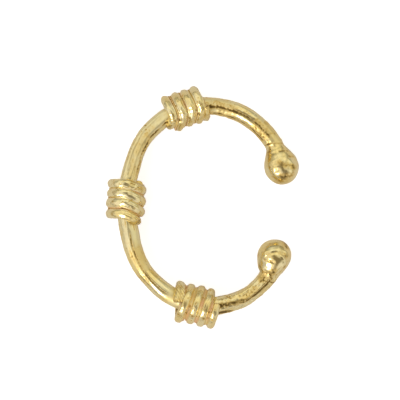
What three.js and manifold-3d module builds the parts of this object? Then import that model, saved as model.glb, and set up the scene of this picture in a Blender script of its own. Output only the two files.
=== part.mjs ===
// Non-piercing belly ring: an open oval hoop of round wire with a ball soldered on each end,
// and three wraps of thinner wire wound tightly round the hoop.
// Millimetres, +Z up. The ring lies on its side, and stands on the undersides of its wraps at z = 0.

import * as THREE from 'three';
import { mergeVertices } from 'three/addons/utils/BufferGeometryUtils.js';
import Module from 'manifold-3d';

const wasm = await Module();
wasm.setup();

// The hoop's centreline is an oval about the hoop's own middle, with the mouth facing +X.
const hoopWireDia = 1.38;
const ovalHalfWidth = 6.36;
const ovalHalfLength = 7.8;

// Each end of the wire carries a ball on a short flared neck.
// seamAngle is where the wire stops, in degrees round the oval from +X, and lean turns the neck
// from the wire's own direction towards the inside of the ring.
const ballDia = 2.64;
const seamCollarDia = 1.5;
const ballEnds = [
  { seamAngle: 42.9, side: -1, lean: 12, seamToBall: 1.94, waistDia: 1.3 },
  { seamAngle: 310.2, side: 1, lean: 18, seamToBall: 1.46, waistDia: 1.44 },
];

// The wire was bent by hand: it runs flatter under each wrap and bulges between them.
// at is in degrees round the oval from +X, and out is the distance outside the true oval.
const handBend = [
  { at: 36, out: 0 },
  { at: 60, out: 0.02 },
  { at: 90, out: -0.1 },
  { at: 103, out: -0.085 },
  { at: 118, out: 0.03 },
  { at: 132, out: 0.1 },
  { at: 156, out: -0.07 },
  { at: 177, out: -0.1 },
  { at: 196, out: -0.11 },
  { at: 220, out: 0.045 },
  { at: 244, out: -0.03 },
  { at: 264, out: -0.05 },
  { at: 277, out: -0.06 },
  { at: 293, out: 0.06 },
  { at: 316, out: 0 },
];

// A wrap's turns lie against each other, and against the hoop, with a hair of clearance.
// All three are wound the same way, and move along the hoop anticlockwise.
// middle is a wrap's place round the oval, in degrees. A turn angle of 0 is on the outside of the
// ring and 90 is on top. start and end are the turn angles of the wire's two cut ends, and
// firstTurn is how far turn angle 0 lies past the middle.
// The winding moves on by onTop while it crosses the top, and by below while it crosses underneath.
// The turns stand nearly parallel: they fan out by turnFan of the hoop's own bend.
const wrapWireDia = 0.72;
const wrapClearance = 0.08;
const turnFan = 0.3;
const wraps = [
  {
    name: 'upper_wrap', middle: 102.6, start: -210, end: 1245,
    firstTurn: -1.03, onTop: 0.5, below: 0.27,
  },
  {
    name: 'left_wrap', middle: 176.5, start: -150, end: 1245,
    firstTurn: -1.22, onTop: 0.62, below: 0.15,
  },
  {
    name: 'lower_wrap', middle: 263.9, start: -260, end: 1200,
    firstTurn: -1.18, onTop: 0.24, below: 0.56,
  },
];

// Facets
const hoopSides = 16;
const hoopSteps = 76;
const ballSides = 20;
const ballArcSteps = 9;
const wrapSides = 10;
const wrapTurnStep = 22.5;

const gold = new THREE.MeshStandardMaterial({ color: 0xd8b45a, roughness: 0.22, metalness: 1 });

const up = new THREE.Vector3(0, 0, 1);
const radians = THREE.MathUtils.degToRad;

// Distance outside the true oval at an angle, on a smooth curve through the rows of handBend.
function bendAt(angle) {
  const last = handBend.length - 1;
  const place = THREE.MathUtils.clamp(angle, handBend[0].at, handBend[last].at);
  const index = Math.min(handBend.findIndex((row) => row.at >= place), last);
  const before = handBend[Math.max(index - 1, 0)];
  const after = handBend[index];
  const between = after.at > before.at ? (place - before.at) / (after.at - before.at) : 0;
  return before.out + (after.out - before.out) * THREE.MathUtils.smoothstep(between, 0, 1);
}

function hoopPoint(angle) {
  const x = Math.cos(radians(angle));
  const y = Math.sin(radians(angle));
  const reach = 1 / Math.hypot(x / ovalHalfWidth, y / ovalHalfLength) + bendAt(angle);
  return new THREE.Vector3(x * reach, y * reach, 0);
}

// The hoop's centreline, anticlockwise from the upper seam to the lower one.
class HoopLine extends THREE.Curve {
  getPoint(t, target = new THREE.Vector3()) {
    const [upperEnd, lowerEnd] = ballEnds;
    return target.copy(hoopPoint(THREE.MathUtils.lerp(upperEnd.seamAngle, lowerEnd.seamAngle, t)));
  }
}

const hoopLine = new HoopLine();
hoopLine.arcLengthDivisions = 1600;
const hoopLength = hoopLine.getLength();

// Share of the hoop's length, from the upper seam, at which the centreline reaches an angle.
function shareAt(angle) {
  const [upperEnd, lowerEnd] = ballEnds;
  const t = (angle - upperEnd.seamAngle) / (lowerEnd.seamAngle - upperEnd.seamAngle);
  const lengths = hoopLine.getLengths();
  return lengths[Math.round(t * (lengths.length - 1))] / hoopLength;
}

// The centreline of a wrap's wire: a helix carried along the hoop.
// Its sections stand square to the hoop, with one facet facing straight away from it, so the
// lowest facets of every turn lie in one level plane.
class WrapLine extends THREE.Curve {
  constructor(wrap) {
    super();
    this.wrap = wrap;
    this.firstStep = Math.round(wrap.start / wrapTurnStep);
    this.steps = Math.round(wrap.end / wrapTurnStep) - this.firstStep;
    this.radius = (hoopWireDia + wrapWireDia) / 2 + wrapClearance;
  }

  frameAt(t) {
    const { middle, firstTurn, onTop, below } = this.wrap;
    const turnAngle = radians((this.firstStep + 0.5 + t * this.steps) * wrapTurnStep);
    const steady = (onTop + below) * turnAngle / (2 * Math.PI);
    const sway = (onTop - below) / 4 * Math.cos(turnAngle);
    const middleShare = shareAt(middle);
    const share = middleShare + (firstTurn + steady - sway) / hoopLength;
    const alongHoop = hoopLine.getTangentAt(middleShare);
    alongHoop.lerp(hoopLine.getTangentAt(share), turnFan).normalize();
    const outwards = new THREE.Vector3().crossVectors(alongHoop, up);
    const away = outwards.multiplyScalar(Math.cos(turnAngle)).addScaledVector(up, Math.sin(turnAngle));
    return { centre: hoopLine.getPointAt(share), alongHoop, away };
  }

  getPoint(t, target = new THREE.Vector3()) {
    const { centre, away } = this.frameAt(t);
    return target.copy(centre).addScaledVector(away, this.radius);
  }

  getSpacedPoints(steps) {
    return this.getPoints(steps);
  }

  computeFrenetFrames(steps) {
    const frames = Array.from({ length: steps + 1 }, (_, step) => this.frameAt(step / steps));
    return {
      tangents: frames.map((_, step) => this.getTangent(step / steps)),
      normals: frames.map((frame) => frame.away),
      binormals: frames.map((frame) => frame.alongHoop),
    };
  }
}

// A round section whose area matches the round wire, with a facet facing +X.
function wireSection(diameter, sides) {
  const corner = Math.PI / sides;
  const reach = diameter / 2 * Math.sqrt(corner * 2 / Math.sin(corner * 2));
  const corners = Array.from({ length: sides }, (_, side) => {
    const angle = (side * 2 + 1) * corner;
    return new THREE.Vector2(Math.cos(angle) * reach, Math.sin(angle) * reach);
  });
  return new THREE.Shape(corners);
}

function wireGeometry(section, line, steps) {
  return new THREE.ExtrudeGeometry(section, { steps, extrudePath: line });
}

// Ball end on its own axis (+Y), from a root buried in the wire, over the seam collar and the neck,
// and round the ball.
function ballEndGeometry(seamToBall, waistDia) {
  const ballRadius = ballDia / 2;
  const rootDepth = 0.35;
  const rootDia = 1.1;
  const collarWidth = 0.12;
  const waistAt = 0.3;
  const neckMeetsBall = radians(-48);
  const profile = [
    new THREE.Vector2(0, -rootDepth),
    new THREE.Vector2(rootDia / 2, -rootDepth),
    new THREE.Vector2(hoopWireDia / 2, -collarWidth),
    new THREE.Vector2(seamCollarDia / 2, 0),
    new THREE.Vector2(waistDia / 2, waistAt),
  ];
  for (let step = 0; step <= ballArcSteps; step += 1) {
    const angle = THREE.MathUtils.lerp(neckMeetsBall, Math.PI / 2, step / ballArcSteps);
    const radius = step < ballArcSteps ? Math.cos(angle) * ballRadius : 0;
    profile.push(new THREE.Vector2(radius, seamToBall + Math.sin(angle) * ballRadius));
  }
  return new THREE.LatheGeometry(profile, ballSides);
}

// Turns a ball end from its own axis to where its wire stops, leaning into the ring.
function placedBallEnd({ side, lean, seamToBall, waistDia }) {
  const share = side > 0 ? 1 : 0;
  const seam = hoopLine.getPointAt(share);
  const heading = hoopLine.getTangentAt(share).multiplyScalar(side);
  heading.applyAxisAngle(up, radians(lean * side));
  const turn = new THREE.Quaternion().setFromUnitVectors(new THREE.Vector3(0, 1, 0), heading);
  return ballEndGeometry(seamToBall, waistDia).applyQuaternion(turn).translate(seam.x, seam.y, seam.z);
}

// Welds a closed geometry's corners and drops the flattened triangles at its poles.
function weldedSolid(geometry) {
  geometry.deleteAttribute('normal');
  geometry.deleteAttribute('uv');
  const welded = mergeVertices(geometry, 1e-5);
  const corners = welded.index.array;
  const triangles = [];
  for (let i = 0; i < corners.length; i += 3) {
    const [a, b, c] = [corners[i], corners[i + 1], corners[i + 2]];
    if (a !== b && b !== c && c !== a) {
      triangles.push(a, b, c);
    }
  }
  const vertProperties = new Float32Array(welded.attributes.position.array);
  const triVerts = new Uint32Array(triangles);
  return new wasm.Manifold(new wasm.Mesh({ numProp: 3, vertProperties, triVerts }));
}

function joinedGeometry(geometries) {
  const joined = geometries.map(weldedSolid).reduce((whole, piece) => whole.add(piece));
  const { vertProperties, triVerts } = joined.getMesh();
  const geometry = new THREE.BufferGeometry();
  geometry.setAttribute('position', new THREE.BufferAttribute(vertProperties, 3));
  geometry.setIndex(new THREE.BufferAttribute(triVerts, 1));
  return geometry;
}

function makeHoop() {
  const wire = wireGeometry(wireSection(hoopWireDia, hoopSides), hoopLine, hoopSteps);
  const mesh = new THREE.Mesh(joinedGeometry([wire, ...ballEnds.map(placedBallEnd)]), gold.clone());
  mesh.name = 'hoop';
  return mesh;
}

function makeWrap(wrap) {
  const line = new WrapLine(wrap);
  const geometry = wireGeometry(wireSection(wrapWireDia, wrapSides), line, line.steps);
  const mesh = new THREE.Mesh(geometry, gold.clone());
  mesh.name = wrap.name;
  return mesh;
}

const ring = new THREE.Group();
ring.add(makeHoop());
for (const wrap of wraps) {
  ring.add(makeWrap(wrap));
}

// The origin is the middle of the ring's outline, on the plane that it lies on.
const outline = new THREE.Box3().setFromObject(ring, true);
const middle = outline.getCenter(new THREE.Vector3());
ring.position.set(-middle.x, -middle.y, -outline.min.z);

const group = new THREE.Group();
group.add(ring);

export default group;
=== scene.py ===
import math

import bpy
import numpy as np
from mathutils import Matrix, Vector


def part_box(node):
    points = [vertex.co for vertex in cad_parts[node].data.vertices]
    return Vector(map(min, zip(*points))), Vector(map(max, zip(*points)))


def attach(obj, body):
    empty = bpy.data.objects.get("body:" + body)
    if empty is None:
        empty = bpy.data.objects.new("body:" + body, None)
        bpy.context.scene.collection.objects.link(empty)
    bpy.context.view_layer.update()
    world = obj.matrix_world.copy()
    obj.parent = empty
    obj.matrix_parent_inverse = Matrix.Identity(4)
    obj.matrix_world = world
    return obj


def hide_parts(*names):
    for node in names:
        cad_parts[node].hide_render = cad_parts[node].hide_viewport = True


# A non-piercing belly ring of gilded wire, lying flat: an open oval hoop with a ball on each end,
# and three wraps of thinner wire. Shapes are worked out in millimetres.

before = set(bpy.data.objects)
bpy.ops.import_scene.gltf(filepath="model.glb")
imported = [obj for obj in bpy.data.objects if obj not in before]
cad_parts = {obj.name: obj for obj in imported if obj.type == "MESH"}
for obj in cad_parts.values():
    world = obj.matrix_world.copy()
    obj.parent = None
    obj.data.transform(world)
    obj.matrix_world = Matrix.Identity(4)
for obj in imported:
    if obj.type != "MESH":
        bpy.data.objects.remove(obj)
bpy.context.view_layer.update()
millimetre = 0.001
print("frame loaded:", sorted(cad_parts))


# ---- curves through short tables

def smoothStep(share):
    # Eases from 0 to 1: share squared, times three less twice the share.
    share = np.clip(share, 0.0, 1.0)
    return share * share * (3.0 - 2.0 * share)


def ramp(value, start, end):
    # Eases from 0 at the start to 1 at the end.
    return smoothStep((value - start) / (end - start))


def within(value, start, end, ease):
    # 1 between the start and the end, eased at both.
    return ramp(value, start, start + ease) * ramp(value, end, end - ease)


def easedRows(rows, at):
    # Levels off at every row: between two rows the value eases from one to the next.
    places, values = np.array(rows, float).T
    at = np.clip(at, places[0], places[-1])
    after = np.clip(np.searchsorted(places, at), 1, len(places) - 1)
    share = (at - places[after - 1]) / (places[after] - places[after - 1])
    return values[after - 1] + (values[after] - values[after - 1]) * smoothStep(share)


def curvedRows(rows, at):
    # A cubic through the rows that never overshoots: the slope at a row is the harmonic mean
    # of the slopes on its two sides, or none where they disagree in sign.
    places, values = np.array(rows, float).T
    gaps = np.diff(places)
    slopes = np.diff(values) / gaps
    before, following = slopes[:-1], slopes[1:]
    agree = before * following > 0
    mean = np.where(agree, 2 * before * following / np.where(agree, before + following, 1), 0)
    tangents = np.concatenate([slopes[:1], mean, slopes[-1:]])
    at = np.clip(at, places[0], places[-1])
    index = np.clip(np.searchsorted(places, at) - 1, 0, len(gaps) - 1)
    gap = gaps[index]
    t = (at - places[index]) / gap
    start, end = values[index], values[index + 1]
    rise = gap * tangents[index]
    fall = gap * tangents[index + 1]
    return (start * (2 * t**3 - 3 * t**2 + 1) + rise * (t**3 - 2 * t**2 + t)
            + end * (3 * t**2 - 2 * t**3) + fall * (t**3 - t**2))


def waves(points, size, seed, count=30):
    # Rolling lumps of about one size: many cosines that run in random directions are added up,
    # and scaled so that the sum varies by about 1 either way.
    chance = np.random.default_rng(seed)
    directions = chance.normal(size=(3, count))
    directions /= np.linalg.norm(directions, axis=0)
    lengths = size * chance.uniform(0.75, 1.35, count)
    starts = chance.uniform(0, 2 * math.pi, count)
    return np.cos(points @ (directions * 2 * math.pi / lengths) + starts).sum(-1) * math.sqrt(2 / count)


def pitted(points, pits, seed):
    # How far the waves stand above a level.
    return np.clip(waves(points, pits["size"], seed) - pits["above"], 0, None)


def drift(length, size, seed):
    # Waves along the wire only.
    return waves(np.stack([length, 0 * length, 0 * length], -1), size, seed)


def unit(vectors):
    # Each vector over its own length.
    return vectors / np.linalg.norm(vectors, axis=-1, keepdims=True)


def towards(azimuth, fromTop):
    # The direction at an azimuth from +X and an angle from straight up, both in degrees.
    azimuth, fromTop = math.radians(azimuth), math.radians(fromTop)
    level = math.sin(fromTop)
    return np.array([math.cos(azimuth) * level, math.sin(azimuth) * level, math.cos(fromTop)])


# ---- the hoop's centreline

hoop = {
    "halfWidth": 6.36,  # of the oval that the centreline follows, across the mouth
    "halfLength": 7.8,
    "wire": 1.38,  # diameter
    "upperSeam": 42.9,  # where the wire stops, in degrees round the oval from +X
    "lowerSeam": 310.2,
    "bend": [  # degrees round the oval, distance outside the true oval
        (36, 0), (60, 0.02), (90, -0.1), (103, -0.085), (118, 0.03), (132, 0.1), (156, -0.07),
        (177, -0.1), (196, -0.11), (220, 0.045), (244, -0.03), (264, -0.05), (277, -0.06),
        (293, 0.06), (316, 0),
    ],
}


def ovalPoints(degrees):
    # Distance from the middle is 1 over the length of (cosine / half width, sine / half length),
    # and the bend.
    angle = np.radians(degrees)
    x, y = np.cos(angle), np.sin(angle)
    reach = 1 / np.hypot(x / hoop["halfWidth"], y / hoop["halfLength"])
    reach += easedRows(hoop["bend"], degrees)
    return np.stack([x * reach, y * reach, np.zeros_like(x)], -1)


lineDegrees = np.linspace(hoop["upperSeam"], hoop["lowerSeam"], 6001)
linePoints = ovalPoints(lineDegrees)

# The hoop's box in the frame says where the oval's middle and the centreline's height are.
hoopLow, hoopHigh = (np.array(corner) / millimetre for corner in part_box("hoop"))
lineLow, lineHigh = linePoints.min(0), linePoints.max(0)
middle = np.array([
    hoopLow[0] - (lineLow[0] - hoop["wire"] / 2),
    (hoopLow[1] + hoopHigh[1] - lineLow[1] - lineHigh[1]) / 2,
    (hoopLow[2] + hoopHigh[2]) / 2,
])
linePoints = linePoints + middle
lineLengths = np.concatenate([[0], np.cumsum(np.linalg.norm(np.diff(linePoints, axis=0), axis=1))])
lineTangents = unit(np.gradient(linePoints, axis=0))
hoopLength = lineLengths[-1]
up = np.array([0.0, 0.0, 1.0])


def along(table, length):
    # Each column of the table, read at these lengths from the upper seam.
    return np.stack([np.interp(length, lineLengths, column) for column in table.T], -1)


def lengthAt(degrees):
    # Length along the centreline from the upper seam to an angle round the oval.
    return np.interp(degrees, lineDegrees, lineLengths)


# ---- meshes

def addObject(name, data):
    # Puts an object into the scene.
    made = bpy.data.objects.new(name, data)
    bpy.context.scene.collection.objects.link(made)
    return made


def drawnTogether(grid):
    # The grid's rows in one list, with the first and the last row drawn together to one point each.
    return np.concatenate([grid[:1].mean(1), grid[1:-1].reshape(-1, grid.shape[-1]), grid[-1:].mean(1)])


def makeMesh(name, points, fields):
    # A skin over a grid, closed at both ends: rows run along the wire and columns round it. A field
    # is a vector or a number for each point of the grid, or one that stretches over it.
    rows, columns = points.shape[:2]
    corners = drawnTogether(points) * millimetre
    ring = 1 + np.arange((rows - 2) * columns).reshape(rows - 2, columns)
    turned = np.roll(ring, -1, axis=1)
    quads = np.stack([ring[:-1], ring[1:], turned[1:], turned[:-1]], -1).reshape(-1, 4)
    last = len(corners) - 1
    firstCap = np.stack([np.zeros(columns, int), ring[0], turned[0]], -1)
    lastCap = np.stack([np.full(columns, last), turned[-1], ring[-1]], -1)
    mesh = bpy.data.meshes.new(name)
    mesh.from_pydata(corners, [], firstCap.tolist() + quads.tolist() + lastCap.tolist())
    mesh.shade_smooth()
    for field, values in fields.items():
        isNumber = np.ndim(values) < 3
        grid = np.broadcast_to(values, (rows, columns))[..., None] if isNumber else values
        kind, slot = ("FLOAT", "value") if isNumber else ("FLOAT_VECTOR", "vector")
        mesh.attributes.new(field, kind, "POINT").data.foreach_set(slot, drawnTogether(grid).ravel())
    return addObject(name, mesh)


def skinned(path, normals, across, radii, turn):
    # Circles carried along the path: centre + radius * (cosine * normal + sine * across).
    spoke = np.cos(turn)[:, None] * normals[:, None] + np.sin(turn)[:, None] * across[:, None]
    return path[:, None] + radii[..., None] * spoke, spoke


def unrolled(length, turn, radius):
    # Length along the wire, radius * cosine and radius * sine: places that go with the wire.
    return np.stack(np.broadcast_arrays(length[:, None], radius * np.cos(turn), radius * np.sin(turn)), -1)


def bell(distance, size):
    # Falls away from 1 as exp(-(distance / size) squared).
    return np.exp(-(distance / size) ** 2)


def nearLine(turn, angles, reach, width):
    # Marks a line that runs along a wire at these angles round its section, reach from its middle,
    # and none on the far side.
    apart = turn - np.radians(angles)[:, None]
    return bell(reach * np.sin(apart), width) * (np.cos(apart) > 0)


def lined(turn, place, rows, ease, reach, wander):
    # Lines along a wire. Each runs from a place to another, and from an angle round the section
    # there to another, and wanders by some degrees. Gives depth, and stain that is partly painted shade.
    depths = np.zeros((len(place), len(turn)))
    stainAndShade = np.zeros_like(depths)
    for start, end, angleStart, angleEnd, width, depth, strength in rows:
        angles = np.interp(place, [start, end], [angleStart, angleEnd]) + wander
        shape = nearLine(turn, angles, reach, width) * within(place, start, end, ease)[:, None]
        depths += depth * shape
        stainAndShade += strength * shape
    return depths, stainAndShade


# ---- the hoop

hoopLook = {
    "around": 96,  # points round the wire, and rows along its parts
    "wireRows": 800,
    "neckRows": 44,
    "tipRows": 30,
    "lineMix": 0.32,  # on both sides of a seam, the neck's line and the wire's are mixed
    "neckMix": (-1.2, -0.1),  # past the seam, where the neck's radius rows take over
    "shiftMix": (-0.3, 0),
    "ballFrom": (0, 0.8),  # past the seam, where the wire's own marks give way to the ball's
    # The next four tables go by degrees round the oval.
    "diameter": [
        (43, 1.39), (72, 1.39), (84, 1.33), (104, 1.35), (120, 1.34), (130, 1.28), (142, 1.24),
        (155, 1.28), (176, 1.35), (199, 1.45), (208, 1.43), (217, 1.37), (230, 1.32),
        (242, 1.4), (264, 1.36), (277, 1.41), (286, 1.37), (297, 1.3), (310, 1.38),
    ],
    "aside": [(50, 0), (62, -0.045), (86, -0.075), (97, -0.04), (104, 0)],  # outside its line
    "grain": [  # how rough and pitted the wire is
        (43, 1.1), (59, 1.1), (64, 0.12), (72, 0.12), (77, 0.9), (90, 1), (110, 0.6), (118, 0.5),
        (136, 0.9), (156, 0.4), (165, 0.4), (195, 0.45), (223, 0.55), (231, 0.12), (245, 0.1),
        (256, 0.5), (266, 1.2), (300, 1.2), (310, 1),
    ],
    "satin": [  # how dull it is
        (43, 0.7), (58, 0.8), (63, 0.1), (71, 0.1), (77, 1.2), (110, 0.7), (150, 0.7), (165, 0.3),
        (195, 0.5), (220, 1.3), (229, 0.1), (241, 0.1), (248, 1.3), (266, 0.25), (310, 0.3),
    ],
    "flats": [  # worn flats: from and to degrees, the way they face (0 outside, 90 up), depth
        (108, 164, 77, 0.085), (272, 294, 42, 0.05), (275, 292, 62, 0.045), (283, 318, 104, 0.07),
        (283, 318, 52, 0.05), (262, 288, 78, 0.035), (74, 96, 104, 0.035), (166, 196, 62, 0.03),
        (166, 200, 116, 0.03),
    ],
    "grooves": [  # from and to degrees, the ways they face there, half width, depth and stain, partly painted dark reflection along the wire
        (42, 62, 118, 120, 0.27, 0, 0.62), (44, 95, 90, 98, 0.08, 0.022, 0.95),
        (46, 90, 146, 144, 0.05, 0.025, 1.1), (46, 90, 158, 156, 0.04, 0.01, 0.5),
        (48, 94, 68, 74, 0.16, 0, 0.28), (68, 95, 99, 100, 0.13, 0.012, 0.7),
        (108, 148, 122, 141, 0.075, 0.045, 1.3), (110, 164, 56, 62, 0.05, -0.014, 0),
        (116, 150, 64, 66, 0.05, 0.01, 0.25), (116, 158, 84, 90, 0.16, 0, 0.2),
        (120, 162, 38, 42, 0.06, 0.01, 0.12), (132, 160, 142, 146, 0.09, 0.02, 0.8),
        (150, 168, 118, 116, 0.05, 0.015, 0.4), (160, 196, 74, 76, 0.05, 0.015, 0.5),
        (160, 196, 108, 106, 0.04, 0.012, 0.4), (164, 200, 128, 128, 0.05, 0.012, 0.5),
        (196, 247, 91, 88, 0.05, 0.025, 1), (206, 234, 70, 66, 0.05, 0.012, 0.35),
        (221, 246, 26, 28, 0.04, 0.01, 0.25), (221, 246, 37, 39, 0.04, 0.01, 0.25),
        (262, 310, 112, 108, 0.3, 0, 0.2), (268, 292, 92, 84, 0.13, 0.025, 1),
        (270, 281, 34, 34, 0.15, 0.03, 1.5), (272, 284, 28, 30, 0.1, 0.03, 1.2),
        (283, 311, 66, 64, 0.065, 0.04, 1), (284, 304, 74, 90, 0.2, 0, 0.3),
        (288, 309, 110, 108, 0.05, 0.015, 0.35),
    ],
    "flatEase": 9,  # degrees over which a flat or a groove comes and goes
    "grooveEase": 4,
    "lumps": [  # size, seed, height on the wire, more where it is grained, on a ball
        (1.5, 11, 0.006, 0, 0.012), (0.62, 12, 0, 0.005, 0.0035), (0.27, 13, 0.0008, 0.0042, 0.0008),
    ],
    "outOfRound": (0.007, 0.004),  # three-sided and five-sided
    "marks": {"size": 0.26, "height": 0.0035},  # from drawing the wire
    "pits": {"size": 0.3, "above": 1.75, "depth": 0.016},
    "seamWidth": 0.05,
}
ballEnds = {
    # A place is a distance past the seam, towards the ball, and an angle round the neck: 0 is
    # outside, 90 on top and 180 inside. radius and shift go by that distance, and shift is outwards.
    # A stain is a place, its size and its strength: partly real stains, and partly painted dark
    # reflection on the balls. A crease runs through places, and has a height (less than 0 is cut in),
    # a half width and a stain, partly painted shade in the crease. The seam line lies a shift past the
    # seam, and swing more on the outside. A face is a place, its size, and the way that the skin is
    # tilted to face there: an azimuth and an angle from straight up.
    "upper": {
        "lean": 12, "equator": 1.96, "tipLength": 1.34, "tipShift": 0,
        "seam": {"shift": 0.05, "swing": 0.24, "outside": 0.5, "inside": 0.6},
        "faces": [(1.94, 112.5, 0.25, 232, 23.5)],
        "radius": [
            (-1.2, 0.7), (-0.3, 0.69), (-0.06, 0.69), (0.02, 0.705), (0.16, 0.69), (0.34, 0.71),
            (0.6, 0.84), (0.85, 0.97), (1.1, 1.1), (1.35, 1.215), (1.62, 1.28), (1.96, 1.295),
        ],
        "shift": [(0, 0), (0.3, 0.03), (0.8, 0.01), (1.3, -0.015), (1.96, -0.02)],
        "stainsAndShades": [
            (2.4, 95, 0.8, 0.12), (1.96, 10, 0.8, 0.2), (2.62, 106, 0.17, 0.8),
            (2.64, 90, 0.15, 0.7), (1.1, 129, 0.09, 0.7), (1.65, 132, 0.09, 0.6),
            (2.4, 140, 0.12, 0.4), (0.6, 150, 0.16, 0.5), (2.2, 54, 0.14, 0.6),
        ],
        "creases": [
            ([(1.45, 97), (1.75, 84), (2, 72), (2.25, 50)], -0.012, 0.19, 0.5),
            ([(0.74, 78), (0.84, 58), (0.95, 38)], -0.01, 0.06, 0.55),
            ([(1.4, 50), (1.5, 28)], -0.01, 0.08, 0.5),
            ([(2.9, 150), (2.9, 110), (2.75, 60)], 0, 0.2, 0.4),
            ([(-0.15, 122), (0.12, 126), (0.5, 132)], -0.01, 0.1, 0.6),
            ([(0.62, 50), (0.8, 90), (0.7, 130)], -0.02, 0.1, 0.15),
            ([(1.3, 115), (1.25, 90), (1.45, 62), (1.9, 50)], 0.016, 0.13, 0),
            ([(1.2, 140), (1.9, 128), (2.5, 118)], 0.03, 0.3, 0),
        ],
    },
    "lower": {
        "lean": 18, "equator": 1.5, "tipLength": 1.36, "tipShift": 0.1,
        "seam": {"shift": -0.5, "swing": 0.3, "outside": 0.9, "inside": 0},
        "faces": [(1.38, 121, 0.13, 232, 23.5), (0.8, 106, 0.2, 232, 23.5)],
        "radius": [
            (-1.2, 0.69), (-0.3, 0.7), (-0.1, 0.73), (0, 0.755), (0.1, 0.79), (0.25, 0.87),
            (0.4, 0.965), (0.7, 1.1), (1, 1.215), (1.25, 1.28), (1.5, 1.31),
        ],
        "shift": [(-0.2, 0), (0.1, -0.05), (0.3, -0.045), (0.6, -0.03), (1.5, -0.03)],
        "stainsAndShades": [
            (1.6, 5, 0.8, 0.15), (1.6, 175, 0.7, 0.15), (0.41, 76, 0.26, 0.8),
            (0.12, 112, 0.24, 0.5), (-0.3, 112, 0.3, 0.4), (0.2, 88, 0.18, 0.4),
            (2.62, 47, 0.3, 0.7), (1.1, 103, 0.12, 0.9), (1.8, 48, 0.2, 0.3),
            (1.2, 162, 0.22, 0.4), (0.5, 150, 0.2, 0.4), (1, 38, 0.14, 0.5), (2.4, 130, 0.15, 0.3),
        ],
        "creases": [
            ([(-0.4, 64), (0.53, 55), (1, 47), (1.45, 50), (1.75, 66)], 0.045, 0.1, 0),
            ([(0.3, 42), (1, 33), (1.5, 38)], -0.03, 0.1, 0.3),
            ([(1.53, 117), (1.88, 92), (1.85, 44)], -0.04, 0.08, 0.3),
            ([(2, 80), (2.02, 40)], -0.02, 0.05, 0.3),
            ([(1.6, 129), (2.2, 84), (2.2, 35)], 0.03, 0.1, 0),
            ([(1.05, 125), (1.1, 90)], -0.035, 0.11, 0.4), ([(1.5, 150), (1.6, 128)], 0.03, 0.15, 0),
            ([(-1.9, 62), (-0.1, 68), (0.15, 84)], -0.03, 0.07, 0.8),
        ],
    },
}


def hoopPath():
    # One run of centres from the upper ball's tip, down its neck, round the wire and out to the
    # lower ball's tip. past is the distance past the nearer seam, and less than 0 on the wire.
    # Near a seam the neck's straight line and the wire's curve are mixed. Beyond a ball's equator
    # the section is an ellipse: tip length * sine onwards, and the equator's radius * cosine.
    wirePlaces = np.linspace(0, hoopLength, hoopLook["wireRows"])
    firstHalf = wirePlaces <= hoopLength / 2
    ends = []
    for end in ballEnds.values():
        neck = np.linspace(0, end["equator"], hoopLook["neckRows"])[1:]
        tip = np.linspace(0, math.pi / 2, hoopLook["tipRows"])[1:]
        ends.append(np.concatenate([neck, end["equator"] + end["tipLength"] * np.sin(tip)]))
    past = np.concatenate([ends[0][::-1], -wirePlaces[firstHalf], wirePlaces[~firstHalf] - hoopLength,
                           ends[1]])
    isUpper = np.arange(len(past)) < len(ends[0]) + firstHalf.sum()
    place = np.where(isUpper, -past, hoopLength + past)
    degrees = np.interp(place, lineLengths, lineDegrees)
    wireRadius = curvedRows(hoopLook["diameter"], degrees) / 2
    wireCentres, wireTangents = along(linePoints, place), along(lineTangents, place)
    centres, tangents = np.empty((2, len(past), 3))
    radii, shifts = np.empty((2, len(past)))
    for key, mine, sign, seamPlace in (("upper", isUpper, -1, [0]), ("lower", ~isUpper, 1, [hoopLength])):
        end = ballEnds[key]
        heading = along(lineTangents, seamPlace)[0] * sign
        lean = math.radians(end["lean"] * sign)
        leaning = heading * math.cos(lean) + np.cross(up, heading) * math.sin(lean)
        curved = wireCentres + heading * np.clip(past, 0, None)[:, None]
        straight = along(linePoints, seamPlace)[0] + leaning * past[:, None]
        mix = ramp(past, -hoopLook["lineMix"], hoopLook["lineMix"])[:, None]
        centres[mine] = (curved * (1 - mix) + straight * mix)[mine]
        tangents[mine] = (wireTangents * (1 - mix) + leaning * sign * mix)[mine]
        share = np.clip((past - end["equator"]) / end["tipLength"], 0, 1)
        cosine = np.cos(np.arcsin(share))
        mix = ramp(past, *hoopLook["neckMix"])
        radii[mine] = (wireRadius * (1 - mix) + curvedRows(end["radius"], past) * cosine * mix)[mine]
        shift = curvedRows(end["shift"], past) * ramp(past, *hoopLook["shiftMix"])
        shifts[mine] = (shift + (end["tipShift"] - end["shift"][-1][1]) * (1 - cosine))[mine]
    return centres, unit(tangents), radii, shifts, past, place, degrees, isUpper


def flattened(turn, degrees, radii):
    # A worn flat is a chord across the section: the surface drops by radius - (radius - depth) /
    # cosine. The drop starts softly, as drop squared / (drop + softness).
    softness = 0.006
    total = np.zeros((len(degrees), len(turn)))
    for start, end, facing, depth in hoopLook["flats"]:
        cosine = np.clip(np.cos(turn - math.radians(facing)), 0.3, 1)
        drop = np.clip(radii[:, None] - (radii[:, None] - depth) / cosine, 0, None)
        total += within(degrees, start, end, hoopLook["flatEase"])[:, None] * drop**2 / (drop + softness)
    return total


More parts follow.
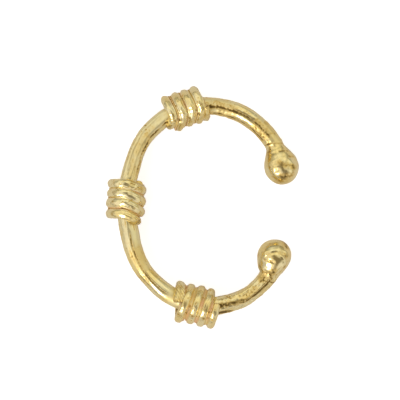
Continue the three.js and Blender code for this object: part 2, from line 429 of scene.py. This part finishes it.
def creased(past, turn, radii, creases):
    # A crease falls away from a chain of straight pieces, with distances measured past the seam
    # and round the neck. Gives height, and stain that is partly painted shade in the crease.
    height = np.zeros((len(past), len(turn)))
    stainAndShade = np.zeros_like(height)
    for places, rise, width, strength in creases:
        nearest = np.full(height.shape, np.inf)
        for (pastA, angleA), (pastB, angleB) in zip(places, places[1:]):
            alongPiece = pastB - pastA
            roundPiece = math.radians(angleB - angleA) * radii[:, None]
            fromPast = past[:, None] - pastA
            fromTurn = (turn - math.radians(angleA)) * radii[:, None]
            share = (fromPast * alongPiece + fromTurn * roundPiece) / (alongPiece**2 + roundPiece**2)
            share = np.clip(share, 0, 1)
            apart = np.hypot(fromPast - share * alongPiece, fromTurn - share * roundPiece)
            nearest = np.minimum(nearest, apart)
        height += rise * bell(nearest, width)
        stainAndShade += strength * bell(nearest, width)
    return height, stainAndShade


def faced(points, spoke, past, mine, end):
    # Tilts the skin about a place until it faces the given way there, and levels it. With n the
    # way it faced, m the way it shall face and d the offset from the place, the height is
    # (offset squared / ball's diameter - d . m / n . m) * exp(-(offset / size) ** 4).
    ballDiameter = 2 * end["radius"][-1][1]
    height = np.zeros(points.shape[:2])
    aroundStep = np.roll(points, -1, axis=1) - np.roll(points, 1, axis=1)
    slopes = np.cross(aroundStep, np.gradient(points, axis=0))
    for pastSeam, angle, size, azimuth, fromTop in end["faces"]:
        row = np.argmin(np.where(mine, np.abs(past - pastSeam), np.inf))
        column = round(angle / 360 * points.shape[1])
        wanted = towards(azimuth, fromTop)
        facing = unit(slopes[row, column])
        facing = facing * np.sign(facing @ spoke[row, column])
        offset = points - points[row, column]
        near = np.exp(-((offset**2).sum(-1) / size**2) ** 2)
        offset = offset - (offset @ facing)[..., None] * facing
        tilt = -(offset @ wanted) / (facing @ wanted)
        height += (tilt + (offset**2).sum(-1) / ballDiameter) * near
    return height


def makeHoop():
    # The skin of the wire and the balls, with its relief straight outwards.
    centres, tangents, radii, shifts, past, place, degrees, isUpper = hoopPath()
    outwards = np.cross(tangents, up)
    shifts = shifts + curvedRows(hoopLook["aside"], degrees)
    centres = centres + outwards * shifts[:, None]
    turn = np.linspace(0, 2 * math.pi, hoopLook["around"], endpoint=False)
    points, spoke = skinned(centres, outwards, up[None], radii[:, None], turn)
    grain = curvedRows(hoopLook["grain"], degrees)[:, None]
    onBall = ramp(past, *hoopLook["ballFrom"])[:, None]
    # Hand-drawn wire is a little out of round, and its flats wander.
    swing = drift(place, 9.0, 3)[:, None]
    wander = drift(place, 1.1, 4)
    threeSided, fiveSided = hoopLook["outOfRound"]
    rounds = np.cos(3 * turn + 2.4 * swing) * threeSided + np.cos(5 * turn - 1.7 * swing) * fiveSided
    grooves, grooveStainAndShade = lined(turn, degrees, hoopLook["grooves"], hoopLook["grooveEase"],
                                 radii[:, None], 1.5 * wander)
    fading = np.clip(0.8 + 0.4 * np.roll(wander, 40), 0, 1)[:, None]
    # Drawing marks are lumps stretched along the wire: its own length counts for a tenth.
    marks = waves(unrolled(place * 0.1, turn, hoop["wire"] / 2), hoopLook["marks"]["size"], 15)
    relief = rounds - flattened(turn, degrees, radii) - grooves + marks * hoopLook["marks"]["height"]
    relief *= 1 - onBall
    for size, seed, onWire, grained, onBalls in hoopLook["lumps"]:
        height = (onWire + grained * grain) * (1 - onBall) + onBalls * onBall
        relief += waves(points, size, seed) * height
    pits = pitted(points, hoopLook["pits"], 14) * (1 - 0.8 * onBall)
    relief -= pits * hoopLook["pits"]["depth"] * (0.25 + grain)
    # Stain from pits, and from the grooves, whose stain is partly painted dark reflection along the wire.
    stainAndShade = np.clip(pits, 0, 0.6) * 0.7 + grooveStainAndShade * fading * (1 - onBall)
    for key, mine in (("upper", isUpper), ("lower", ~isUpper)):
        end = ballEnds[key]
        # Creases cut in with stain, and the stains, darken the balls: partly real stains, and partly
        # painted shade and dark reflection.
        height, marked = creased(past, turn, radii, end["creases"])
        relief += height * mine[:, None]
        relief += faced(points, spoke, past, mine, end)
        seam = end["seam"]
        fromSeam = past[:, None] - seam["shift"] - seam["swing"] * np.cos(turn)
        strength = seam["inside"] + (seam["outside"] - seam["inside"]) * ramp(np.cos(turn), -0.5, 0.5)
        marked += bell(fromSeam, hoopLook["seamWidth"]) * strength
        for pastSeam, angle, size, strength in end["stainsAndShades"]:
            line = nearLine(turn, np.full(len(past), angle), radii[:, None], size)
            marked += line * bell(past[:, None] - pastSeam, size) * strength
        stainAndShade += marked * mine[:, None]
    # Towards a ball's tip the relief dies away with the section's radius.
    relief *= np.clip(radii / 0.5, 0, 1)[:, None]
    points = points + spoke * relief[..., None]
    ragged = 0.95 + 0.28 * waves(points, 0.2, 17)
    fields = {
        "lie": unrolled(place, turn, hoop["wire"] / 2) * millimetre,
        "stainAndShade": np.clip(stainAndShade * ragged, 0, 1),
        "grain": grain * (1 - 0.6 * onBall),
        "blush": 0.0,
        "satin": curvedRows(hoopLook["satin"], degrees)[:, None] * (1 - onBall),
    }
    return makeMesh("hoopMetal", points, fields)


# ---- the wraps

wrapWire = {
    "halfHeight": 0.375,  # of the wire's section, away from the hoop
    "flangeWidth": 0.422,  # half width of the flange pressed out where two turns touch
    "around": 72,
    "rowsPerTurn": 170,
    "cap": 0.1,  # how far a cut end bulges
    "capRows": 11,
    "lift": 0.03,  # how much higher the tops stand than the undersides reach down
    "radius": 0.37,  # where marks and grain are worked out
    "topReach": 1.45,  # from a wrap's axis to the tops of its turns, for the size of spots
    "flangeAlone": 0.55,  # share of the flange's width where no other turn touches it
    "flangePower": 12,  # how square the flange is, and how sharply it meets the round wire
    "meetPower": 18,
    "alone": (300, 360),  # turn angles from a cut end, where the next turn comes alongside
    "finishLength": 0.9,  # from the last cut end, where the finish comes in
    "lump": {"size": 0.9, "height": 0.007},
    "crumpleSize": 0.4,
    "markSize": 0.26,
    "outOfRound": 0.004,
    "pits": {"size": 0.24, "above": 1.5, "depth": 0.014},
    "cutStainAndShade": 0.2,  # size of the stain and painted shade at a cut end
    "grooveAt": 0.012,  # the dark line between turns, painted groove shade: past the half width, half width
    "grooveWidth": 0.028,
    "grain": 0.15,
    "lineEase": 16,  # degrees over which a line comes and goes
    "squeezed": (-0.09, -0.01),  # past the half width, where the metal squeezed out starts
    "squeezedEdge": (0.03, 0.06),
    "dull": (-0.06, 0.01),
    "dullSatin": 1.3,
    "tailRidges": {"round": 11, "slant": 20, "length": 1.5},  # left by pliers
    # On every turn: from and to turn angles, the section's angles there, half width, depth (less
    # than 0 stands up) and stain, partly painted shade along the line.
    "lines": [
        (82, 178, 10, 16, 0.055, 0.02, 0.15), (88, 170, 42, 36, 0.07, -0.012, 0),
        (110, 176, -14, -18, 0.05, -0.014, 0), (116, 178, -28, -34, 0.05, 0.016, 0.1),
        (4, 84, 18, 14, 0.05, 0.01, 0), (0, 70, -22, -16, 0.05, -0.008, 0),
    ],
}
wraps = {
    # middle is a wrap's place round the oval, in degrees, out its distance outside the hoop's line,
    # and axis the azimuth of its own axis. Turn angles are in degrees: 0 outside, 90 on top, 180
    # inside, 270 below. Every half turn from firstKnot on, a knot says how far along the axis the
    # wire lies, and how far out its crest reaches. Over the top the wire moves on between two slant
    # angles, one pair for each turn, and lean bows it. tail and finish say how wide and how thick
    # the two cut ends are beside the rest, and cuts how much stain and painted shade they get. A
    # squareness of 2 is an ellipse, and more is squarer. A peak over 1 bends the turns more sharply
    # at the top. groove is how dark the lines between two turns are: painted shade in the groove. A
    # notch runs across every turn: its turn angle, half width in degrees, depth and stain, partly
    # painted dark reflection across the turn. A spot is a turn angle, an angle round the wire's
    # section, a size, a depth and a stain, partly painted shade and reflection.
    "upper_wrap": {
        "middle": 102.2, "out": 0.02, "axis": 199.8, "lean": -0.13, "seed": 21,
        "slants": [(98, 178)] * 5, "start": -244, "end": 1252, "tail": (0.8, 0.85),
        "finish": (0.85, 0.72), "cuts": (0.5, 1), "ridges": 0, "crumple": 0.005, "satin": 0.35,
        "squareness": 2.1, "peak": 1, "streaks": 0.009, "facets": 8, "facetDepth": 0.004,
        "halfWidth": 0.335, "flangeHeight": 0.24, "tailLength": 1.5, "groove": 0.75,
        "notches": [(100, 4.2, 0.022, 0.2)],
        "spots": [(133, 325, 0.1, 0.02, 0.9), (495, 320, 0.1, 0.02, 0.9), (851, 320, 0.1, 0.02, 0.9),
                  (1200, 20, 0.12, 0.02, 0.5)],
        "firstKnot": -360,
        "knots": [(-1.36, 1.41), (-1.22, 1.487), (-1.05, 1.41), (-0.615, 1.487), (-0.308, 1.41),
                  (0.1, 1.436), (0.436, 1.46), (0.949, 1.487), (1.256, 1.487), (1.6, 1.27)],
    },
    "left_wrap": {
        "middle": 175.56, "out": 0.025, "axis": 269.3, "lean": 0, "seed": 31,
        "slants": [(80, 170)] * 3 + [(66, 164)], "start": -166, "end": 1240, "tail": (0.95, 0.85),
        "finish": (0.8, 0.75), "cuts": (0.1, 1), "ridges": 0, "crumple": 0.003, "satin": 0.2,
        "squareness": 2.2, "peak": 1, "streaks": 0.004, "facets": 7, "facetDepth": 0.005,
        "halfWidth": 0.375, "flangeHeight": 0.22, "tailLength": 1.5, "groove": 0.45,
        "notches": [],
        "spots": [(52, 10, 0.16, 0.01, 0.28), (412, 10, 0.16, 0.01, 0.28), (770, 10, 0.16, 0.01, 0.32),
                  (1128, 10, 0.16, 0.01, 0.28), (1222, 350, 0.16, 0.01, 0.9)],
        "firstKnot": -180,
        "knots": [(-1.12, 1.38), (-1.256, 1.41), (-0.77, 1.56), (-0.513, 1.46), (0.1, 1.54),
                  (0.205, 1.56), (0.897, 1.46), (1.05, 1.56), (1.6, 1.34)],
    },
    "lower_wrap": {
        "middle": 262.9, "out": -0.02, "axis": 346.8, "lean": 0, "seed": 41,
        "slants": [(0, 180)] * 5, "start": -266, "end": 1190, "tail": (1.6, 0.9),
        "finish": (0.8, 0.8), "cuts": (0.8, 0.3), "ridges": 0.03, "crumple": 0.003, "satin": 0.45,
        "squareness": 2.5, "peak": 1.25, "streaks": 0.003, "facets": 6, "facetDepth": 0.004,
        "halfWidth": 0.325, "flangeHeight": 0.18, "tailLength": 2.5, "groove": 0.38,
        "notches": [(69.5, 4, 0.024, 0.1)],
        "spots": [(418, 0, 0.12, 0.02, 0.8), (778, 345, 0.13, 0.02, 0.8), (1140, 5, 0.1, 0.02, 0.8),
                  (52, 30, 0.12, 0.02, 0.7), (436, 30, 0.09, 0.01, 0.3)],
        "firstKnot": -360,
        "knots": [(-0.98, 1.5), (-1.54, 1.56), (-1.128, 1.64), (-0.69, 1.515), (-0.23, 1.56),
                  (0.1, 1.56), (0.564, 1.58), (0.87, 1.487), (1.36, 1.54), (1.56, 1.45)],
    },
}


def wrapSection(turn, wide, thick, touching, wrap):
    # Distance from the wire's centre to its skin: the larger of a squarish ellipse and a flat
    # flange on each side. Both are met softly, by adding high powers. touching is 1 where a
    # neighbouring turn presses a flange out, and 0 where there is none.
    tall, broad = np.abs(np.cos(turn)), np.abs(np.sin(turn))
    power = wrap["squareness"]
    ellipse = ((tall / (wrapWire["halfHeight"] * thick)) ** power
               + (broad / (wrap["halfWidth"] * wide)) ** power) ** (-1 / power)
    alone, power = wrapWire["flangeAlone"], wrapWire["flangePower"]
    width = wrapWire["flangeWidth"] * (alone + (1 - alone) * touching)
    flange = ((tall / (wrap["flangeHeight"] * thick)) ** power + (broad / width) ** power) ** (-1 / power)
    power = wrapWire["meetPower"]
    return (ellipse**power + flange**power) ** (1 / power)


def wrapPath(wrap):
    # A helix along a straight axis: centre + axis * distance along + reach * cosine * outwards
    # + height * sine * up.
    places, reaches = np.array(wrap["knots"], float).T
    degrees = np.arange(wrap["start"], wrap["end"], 360 / wrapWire["rowsPerTurn"])
    before = np.floor((degrees - wrap["firstKnot"]) / 180).astype(int)
    turnStart = wrap["firstKnot"] + before * 180
    share = (degrees - turnStart) / 180
    isOver = turnStart % 360 == 0
    # Half turns go over the top and below by turns: overTurn counts the ones over the top.
    overTurn = (before - (wrap["firstKnot"] % 360 != 0)) // 2
    slantFrom, slantTo = np.array(wrap["slants"], float)[overTurn].T
    eased = np.where(isOver, ramp(share * 180, slantFrom, slantTo), smoothStep(share))
    place = places[before] * (1 - eased) + places[before + 1] * eased
    place = place + np.where(isOver, wrap["lean"] * np.sin(math.pi * share**1.2) ** 2, 0)
    level = smoothStep(share)
    reach = reaches[before] * (1 - level) + reaches[before + 1] * level
    turnAngle = np.radians(degrees)
    axis = towards(wrap["axis"], 90)
    outwards = np.cross(axis, up)
    length = lengthAt(np.array([wrap["middle"]]))
    centre = along(linePoints, length) + np.cross(along(lineTangents, length), up) * wrap["out"]
    across = np.cos(turnAngle)[:, None] * outwards
    height = np.sin(turnAngle)
    height = np.where(height > 0, np.abs(height) ** wrap["peak"], height)
    rise = height[:, None] * up
    halfHeight = wrapWire["halfHeight"]
    upright = middle[2] - halfHeight + np.where(rise[:, 2:] > 0, wrapWire["lift"], 0)
    path = centre + axis * place[:, None] + across * (reach - halfHeight)[:, None] + rise * upright
    return path, unit(across + rise), degrees


def spotted(turn, degrees, wrap):
    # Notches and spots. Gives depth, and stain that is partly painted shade and dark reflection.
    cut = np.zeros((len(degrees), len(turn)))
    stainAndShade = np.zeros_like(cut)
    for turnAngle, width, depth, strength in wrap["notches"]:
        shape = bell(degrees % 360 - turnAngle, width)[:, None] * np.clip(np.cos(turn), 0, 1)
        cut += depth * shape
        stainAndShade += strength * shape
    for turnAngle, angle, size, depth, strength in wrap["spots"]:
        alongTurn = np.radians(degrees - turnAngle)[:, None] * wrapWire["topReach"]
        line = nearLine(turn, np.full(len(degrees), angle), wrapWire["halfHeight"], size)
        shape = line * bell(alongTurn, size)
        cut += depth * shape
        stainAndShade += strength * shape
    return cut, stainAndShade


def makeWrap(name, wrap):
    # The wire's section carried along its helix, with its relief straight outwards.
    path, away, degrees = wrapPath(wrap)
    tangents = unit(np.gradient(path, axis=0))
    normals = unit(away - (away * tangents).sum(-1, keepdims=True) * tangents)
    # Each cut end is a flattened dome: reach is a power of a cosine, and bulge of a sine.
    dome = np.linspace(0, math.pi / 2, wrapWire["capRows"] + 1)[1:]
    bulge = np.sin(dome) ** 0.8 * wrapWire["cap"]
    reach = np.cos(dome) ** 0.5
    path = np.concatenate([path[0] - tangents[0] * bulge[::-1, None], path,
                           path[-1] + tangents[-1] * bulge[:, None]])
    scale = np.concatenate([reach[::-1], np.ones(len(degrees)), reach])
    tangents, normals, degrees = (
        np.concatenate([np.repeat(field[:1], len(dome), 0), field, np.repeat(field[-1:], len(dome), 0)])
        for field in (tangents, normals, degrees))
    length = np.concatenate([[0], np.cumsum(np.linalg.norm(np.diff(path, axis=0), axis=1))])
    nearStart = (1 - ramp(length, 0, wrap["tailLength"]))[:, None]
    nearEnd = (1 - ramp(length[-1] - length, 0, wrapWire["finishLength"]))[:, None]
    wide, thick = (1 + (wrap["tail"][side] - 1) * nearStart + (wrap["finish"][side] - 1) * nearEnd
                   for side in (0, 1))
    turn = np.linspace(0, 2 * math.pi, wrapWire["around"], endpoint=False)
    afterStart = ramp(degrees - degrees[0], *wrapWire["alone"])[:, None]
    beforeEnd = ramp(degrees[-1] - degrees, *wrapWire["alone"])[:, None]
    touching = np.where(np.sin(turn) > 0, afterStart, beforeEnd)
    radii = wrapSection(turn, wide, thick, touching, wrap) * scale[:, None]
    points, spoke = skinned(path, normals, np.cross(normals, tangents), radii, turn)
    seed = wrap["seed"]
    swing = drift(length, 5.0, seed)[:, None]
    wander = drift(length, 1.6, seed + 6)
    lines, lineStainAndShade = lined(turn, degrees % 360, wrapWire["lines"], wrapWire["lineEase"],
                             wrapWire["halfHeight"], 5 * wander)
    cuts, cutStainAndShade = spotted(turn, degrees, wrap)
    # Drawing marks are lumps stretched along the wire: its own length counts for an eighth.
    marks = waves(unrolled(length / 8, turn, wrapWire["radius"]), wrapWire["markSize"], seed + 7)
    relief = marks * wrap["streaks"] - lines - cuts
    relief += np.cos(2 * turn + 2 * swing) * wrapWire["outOfRound"]
    relief += np.cos(wrap["facets"] * turn + 2.5 * swing) * wrap["facetDepth"]
    relief += waves(points, wrapWire["lump"]["size"], seed + 1) * wrapWire["lump"]["height"]
    relief += waves(points, wrapWire["crumpleSize"], seed + 2) * wrap["crumple"]
    pits = pitted(points, wrapWire["pits"], seed + 3)
    shape = wrapWire["tailRidges"]
    onTail = smoothStep(2 - 2 * ramp(length, 0, shape["length"]))[:, None]
    ridges = np.cos(shape["round"] * turn - shape["slant"] * length[:, None]) * wrap["ridges"] * onTail
    relief = (relief - pits * wrapWire["pits"]["depth"] + ridges) * scale[:, None]
    points = points + spoke * relief[..., None]
    points[..., 2] = np.maximum(points[..., 2], 0.0)
    # Painted shade darkens the wire where it faces the hoop, and in a line beside the flange between two
    # turns; the cut ends get stain and painted shade.
    # past is how far a point lies beyond the wire's half width.
    past = np.abs(np.sin(turn)) * radii - wrap["halfWidth"]
    paintedShadeFacingHoop = ramp(-np.cos(turn), 0.35, 0.85)
    onCut = (1 - ramp(scale, 0.75, 0.95))[:, None]
    startCut, endCut = wrap["cuts"]
    cutEndStainAndShade = (bell(length, wrapWire["cutStainAndShade"]) * startCut
              + bell(length[-1] - length, wrapWire["cutStainAndShade"]) * endCut)[:, None]
    # Painted shade in the groove where two turns touch.
    between = bell(past - wrapWire["grooveAt"], wrapWire["grooveWidth"])
    between = between * touching * (np.cos(turn) > 0)
    stainAndShade = paintedShadeFacingHoop * 0.8 + onCut * 0.3 + cutEndStainAndShade * 0.8 + np.clip(pits, 0, 0.5) + lineStainAndShade + cutStainAndShade
    # The metal squeezed out between two turns is dull, and has a blush.
    edge = ramp(past, *wrapWire["squeezedEdge"])
    squeezed = ramp(past, *wrapWire["squeezed"]) * (1 - 0.5 * edge) * touching
    blush = squeezed * ramp(np.cos(turn), -0.2, 0.2) * (0.7 + 0.4 * waves(points, 1.1, seed + 5))
    fields = {
        "lie": unrolled(length, turn, wrapWire["radius"]) * millimetre,
        "stainAndShade": np.clip(stainAndShade + between * wrap["groove"], 0, 1),
        "grain": wrapWire["grain"],
        "blush": np.clip(blush, 0, 1),
        "satin": wrap["satin"] + wrapWire["dullSatin"] * ramp(past, *wrapWire["dull"]) * touching,
    }
    return makeMesh(name.replace("_wrap", "Wrap"), points, fields)


# ---- materials

gold = {
    "light": (0.92, 0.81, 0.44, 1),
    "deep": (0.89, 0.71, 0.29, 1),
    # tarnish and stain are the colours of real dirt, and also of painted shade and painted dark reflection
    "tarnishAndShade": (0.77, 0.55, 0.18, 1),
    "stainAndShade": (0.2, 0.13, 0.035, 1),
    "blush": (0.9, 0.7, 0.49, 1),  # where two turns are squeezed together
    "shadeScale": 620,  # of the broad shifts between light and deep
    "fineScale": 5200,  # of the fine grain
    "mottleScale": 1900,  # of the dirt
    "markScale": (420, 7000, 7000),  # of the drawing marks, along the wire and across it
    "fineHeight": 0.9,
    "dirtRoughness": 0.2,  # what each adds to the roughness
    "satinRoughness": 0.3,
    "blushRoughness": 0.32,
    "fineRoughness": 0.14,
}
finishes = {  # depth of the relief is in millimetres
    "hoopGold": {"roughness": 0.13, "marks": 0.7, "depth": 0.009},
    "wrapGold": {"roughness": 0.12, "marks": 0.7, "depth": 0.006},
}


def setInputs(tree, node, inputs):
    # Links or sets each of a node's named inputs.
    for name, value in inputs.items():
        if isinstance(value, bpy.types.NodeSocket):
            tree.links.new(value, node.inputs[name])
        else:
            node.inputs[name].default_value = value


def addNode(tree, kind, inputs=None, **settings):
    # Adds a node, with its settings and inputs.
    node = tree.nodes.new(kind if kind.startswith("NodeGroup") else "ShaderNode" + kind)
    for setting, value in settings.items():
        setattr(node, setting, value)
    setInputs(tree, node, inputs or {})
    return node


def newMaterial(name):
    # A material, its nodes, and the shader among them.
    material = bpy.data.materials.new(name)
    material.use_nodes = True
    return material, material.node_tree, material.node_tree.nodes["Principled BSDF"]


def combine(tree, operation, *values):
    # One Math node with its values or links.
    return addNode(tree, "Math", dict(enumerate(values)), operation=operation).outputs[0]


def spread(tree, value, fromLow, fromHigh, toLow=0.0, toHigh=1.0):
    # Moves a value smoothly from one range to another.
    inputs = {"Value": value, "From Min": fromLow, "From Max": fromHigh, "To Min": toLow, "To Max": toHigh}
    return addNode(tree, "MapRange", inputs, interpolation_type="SMOOTHSTEP").outputs["Result"]


def noise(tree, place, scale, detail, roughness=0.5, distortion=0.0):
    # Soft noise from 0 to 1.
    inputs = {"Vector": place, "Scale": scale, "Detail": detail, "Roughness": roughness,
              "Distortion": distortion}
    return addNode(tree, "TexNoise", inputs).outputs["Fac"]


def mixed(tree, share, first, second, **settings):
    # The first colour at a share of 0, and the second at 1.
    inputs = {"Factor": share, "A": first, "B": second}
    return addNode(tree, "Mix", inputs, data_type="RGBA", **settings).outputs["Result"]


def dot(tree, direction, other):
    # The dot product of two directions.
    inputs = {0: direction, 1: other}
    return addNode(tree, "VectorMath", inputs, operation="DOT_PRODUCT").outputs["Value"]


def wornGoldGroup():
    # Colour, roughness and relief of gilded wire: broad shifts of colour, fine grain, drawing
    # marks along the wire, and dirt and painted shade where the piece's own field asks for it. The
    # first half of that darkening turns the metal to orange tarnish, and the rest to brown stain; both
    # also paint shade in grooves, creases and hollows, and paint dark reflections.
    group = bpy.data.node_groups.new("wornGold", "ShaderNodeTree")
    for name, way, kind in (("Roughness", "INPUT", "Float"), ("Marks", "INPUT", "Float"),
                            ("Color", "OUTPUT", "Color"), ("Roughness", "OUTPUT", "Float"),
                            ("Height", "OUTPUT", "Float")):
        group.interface.new_socket(name=name, in_out=way, socket_type="NodeSocket" + kind)
    inputs = addNode(group, "NodeGroupInput").outputs
    place = addNode(group, "TexCoord").outputs["Object"]
    lie = addNode(group, "Attribute", attribute_name="lie").outputs["Vector"]
    stainAndShadeField, grainField, satinField, blushField = (
        addNode(group, "Attribute", attribute_name=name).outputs["Fac"]
        for name in ("stainAndShade", "grain", "satin", "blush"))
    fine = noise(group, place, gold["fineScale"], 3, 0.6)
    mottle = noise(group, place, gold["mottleScale"], 3, 0.6, 0.4)
    stretched = addNode(group, "Mapping", {"Vector": lie, "Scale": gold["markScale"]}).outputs[0]
    marks = noise(group, stretched, 1, 2)
    speckle = combine(group, "ADD", spread(group, fine, 0.56, 0.7, 0, 0.1),
                      spread(group, mottle, 0.52, 0.68, 0, 0.32))
    dirtAndShade = combine(group, "MULTIPLY_ADD", speckle, grainField, stainAndShadeField)
    shade = spread(group, noise(group, place, gold["shadeScale"], 3, 0.55), 0.38, 0.62)
    color = mixed(group, shade, gold["light"], gold["deep"])
    for share, over in ((blushField, "blush"), (spread(group, dirtAndShade, 0.0, 0.5), "tarnishAndShade"),
                        (spread(group, dirtAndShade, 0.35, 1.0), "stainAndShade")):
        color = mixed(group, share, color, gold[over])
    rough = inputs["Roughness"]
    for field, share in ((combine(group, "MINIMUM", dirtAndShade, 1.0), gold["dirtRoughness"]),
                         (satinField, gold["satinRoughness"]), (blushField, gold["blushRoughness"]),
                         (combine(group, "SUBTRACT", fine, 0.5), gold["fineRoughness"])):
        rough = combine(group, "MULTIPLY_ADD", field, share, rough)
    height = combine(group, "MULTIPLY", combine(group, "MULTIPLY", fine, grainField), gold["fineHeight"])
    height = combine(group, "MULTIPLY_ADD", marks, inputs["Marks"], height)
    addNode(group, "NodeGroupOutput", {"Color": color, "Roughness": rough, "Height": height})
    return group


def goldMaterial(name, group):
    # Polished metal, with the worn group's colour, roughness and fine relief.
    finish = finishes[name]
    material, tree, shader = newMaterial(name)
    values = {"Roughness": finish["roughness"], "Marks": finish["marks"]}
    worn = addNode(tree, "Group", values, node_tree=group).outputs
    relief = {"Height": worn["Height"], "Distance": finish["depth"] * millimetre}
    setInputs(tree, shader, {
        "Metallic": 1.0,
        "Base Color": worn["Color"],
        "Roughness": worn["Roughness"],
        "Normal": addNode(tree, "Bump", relief).outputs["Normal"],
    })
    return material


wornGold = wornGoldGroup()
hoopGold = goldMaterial("hoopGold", wornGold)
wrapGold = goldMaterial("wrapGold", wornGold)

pieces = {"hoop": (makeHoop(), hoopGold, "hoop_metal")}
print("hoop made")
for name, wrap in wraps.items():
    pieces[name] = (makeWrap(name, wrap), wrapGold, "wrap_metal")
    print(name, "made")
for node, (piece, material, slot) in pieces.items():
    piece.data.materials.append(material)
    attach(piece, "root")
    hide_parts(node)


# ---- floor, light and camera

studio = {
    "floorSize": 4.0,  # metres
    "floorColour": (0.8, 0.775, 0.785, 1),
    "floorGlow": 0.66,  # added for the camera only
    "tent": [  # height of the direction, brightness of the tent there
        (-1.0, 0.48), (0.0, 0.33), (0.1, 0.45), (0.25, 0.67), (0.45, 0.88), (0.65, 0.97), (0.82, 0.97),
        (0.93, 0.8), (0.97, 0.5), (1.0, 0.33),
    ],
    "lean": (0.04, -0.06, 1.0),  # where the tent's dark top is, as seen from the ring
    "tintAzimuth": 245,  # the side of the tent with the first tint
    "tints": ((1.0, 0.955, 0.99, 1), (1.0, 0.97, 0.87, 1)),
    "tintBlend": 0.6,  # where the change from one tint to the other ends, of 1
    "folds": 2.2,  # how many folds of cloth there are
    "foldLevels": (0.7, 1.12),  # how bright the cloth is in a fold, and between two
    "backdrop": (1.05, 1.05, 1.05, 1),  # seen by the camera only
    "shadeAzimuth": -56,  # the dark stand that leans over one side of the tent
    "shadeTint": (0.24, 0.21, 0.15, 1),
    "shadeHalfWidth": 0.17,  # at the top of the tent
    "shadeSpread": 0.26,  # how much wider it gets for each unit outwards
    "shadeEdge": (0.55, 1.45),  # where its soft edge starts and ends, in half widths
    "shadeFrom": (-0.3, -0.16),  # where it starts and ends, from the top of the tent outwards
    "shadeTo": (0.72, 0.95),
    "shadeDepth": 0.9,
    "keyAzimuth": 232,  # where the lamp is, in degrees and metres
    "keyFromTop": 47,
    "keyDistance": 0.25,
    "keyWidth": 0.066,
    "keyPower": 0.12,
}


def makeFloor():
    # A matt sheet, with a glow that only the camera sees.
    half = studio["floorSize"] / 2
    mesh = bpy.data.meshes.new("floor")
    corners = [(-half, -half, 0), (half, -half, 0), (half, half, 0), (-half, half, 0)]
    mesh.from_pydata(corners, [], [(0, 1, 2, 3)])
    floor = addObject("floor", mesh)
    material, tree, shader = newMaterial("paleFloor")
    seen = addNode(tree, "LightPath").outputs["Is Camera Ray"]
    setInputs(tree, shader, {
        "Base Color": studio["floorColour"],
        "Roughness": 0.9,
        "Specular IOR Level": 0.0,
        "Emission Color": (1, 1, 1, 1),
        "Emission Strength": combine(tree, "MULTIPLY", seen, studio["floorGlow"]),
    })
    mesh.materials.append(material)


def makeTent():
    # A tent of pale cloth round the ring: its brightness goes by the height of the direction, its
    # tint by the side, and its folds by noise. The stand's shade covers it where the distance aside
    # is under half width + spread * the way outwards.
    world = bpy.data.worlds.new("tent")
    bpy.context.scene.world = world
    world.use_nodes = True
    tree = world.node_tree
    tree.nodes.clear()
    direction = addNode(tree, "TexCoord").outputs["Generated"]
    height = dot(tree, direction, unit(np.array(studio["lean"])))
    tent = addNode(tree, "ValToRGB", {"Fac": combine(tree, "MULTIPLY_ADD", height, 0.5, 0.5)})
    stops = tent.color_ramp.elements
    while len(stops) < len(studio["tent"]):
        stops.new(0.5)
    for stop, (level, bright) in zip(stops, studio["tent"]):
        stop.position = (level + 1) / 2
        stop.color = (bright, bright, bright, 1)
    reach = dot(tree, direction, towards(studio["shadeAzimuth"], 90))
    aside = dot(tree, direction, towards(studio["shadeAzimuth"] + 90, 90))
    limit = combine(tree, "MULTIPLY_ADD", combine(tree, "MAXIMUM", reach, 0.0), studio["shadeSpread"],
                    studio["shadeHalfWidth"])
    beside = combine(tree, "DIVIDE", combine(tree, "ABSOLUTE", aside), limit)
    shade = spread(tree, beside, *studio["shadeEdge"], 1, 0)
    for share in (spread(tree, reach, *studio["shadeFrom"]),
                  spread(tree, reach, *studio["shadeTo"], 1, 0), studio["shadeDepth"]):
        shade = combine(tree, "MULTIPLY", shade, share)
    bright = mixed(tree, shade, tent.outputs["Color"], studio["shadeTint"])
    firstTint, secondTint = studio["tints"]
    tintShare = spread(tree, dot(tree, direction, towards(studio["tintAzimuth"], 90)),
                       -studio["tintBlend"], studio["tintBlend"])
    fold = spread(tree, noise(tree, direction, studio["folds"], 2), 0.35, 0.62, *studio["foldLevels"])
    tint = addNode(tree, "VectorMath", {0: mixed(tree, tintShare, secondTint, firstTint),
                                                  "Scale": fold}, operation="SCALE").outputs["Vector"]
    bright = mixed(tree, 1.0, bright, tint, blend_type="MULTIPLY")
    seen = addNode(tree, "LightPath").outputs["Is Camera Ray"]
    shown = mixed(tree, seen, bright, studio["backdrop"])
    background = addNode(tree, "Background", {"Color": shown})
    addNode(tree, "OutputWorld", {"Surface": background.outputs[0]})


def makeKey():
    # A small round lamp that looks at the ring.
    azimuth, fromTop = studio["keyAzimuth"], studio["keyFromTop"]
    light = bpy.data.lights.new("key", "AREA")
    light.shape = "DISK"
    light.size = studio["keyWidth"]
    light.energy = studio["keyPower"]
    lamp = addObject("key", light)
    lamp.location = towards(azimuth, fromTop) * studio["keyDistance"]
    lamp.rotation_euler = (0, math.radians(fromTop), math.radians(azimuth))


framing = {
    "centre": (-0.247, 0.465),  # the point under the camera, in millimetres
    "width": 30.72,  # how much the picture takes in, in millimetres
    "lens": 160.0,
    "sensor": 36.0,
    "roll": -0.68,  # degrees
}


def makeCamera():
    # Looks straight down. Its distance is the picture's width * lens / sensor.
    lens = bpy.data.cameras.new("camera")
    lens.lens = framing["lens"]
    lens.sensor_width = framing["sensor"]
    lens.clip_start = 0.001
    lens.clip_end = 10.0
    camera = addObject("camera", lens)
    distance = framing["width"] * framing["lens"] / framing["sensor"]
    x, y = framing["centre"]
    camera.location = np.array([x, y, middle[2] + distance]) * millimetre
    camera.rotation_euler = (0, 0, math.radians(framing["roll"]))
    bpy.context.scene.camera = camera


makeFloor()
makeTent()
makeKey()
makeCamera()
bpy.context.scene.view_settings.view_transform = "Standard"
print("floor, light and camera made")
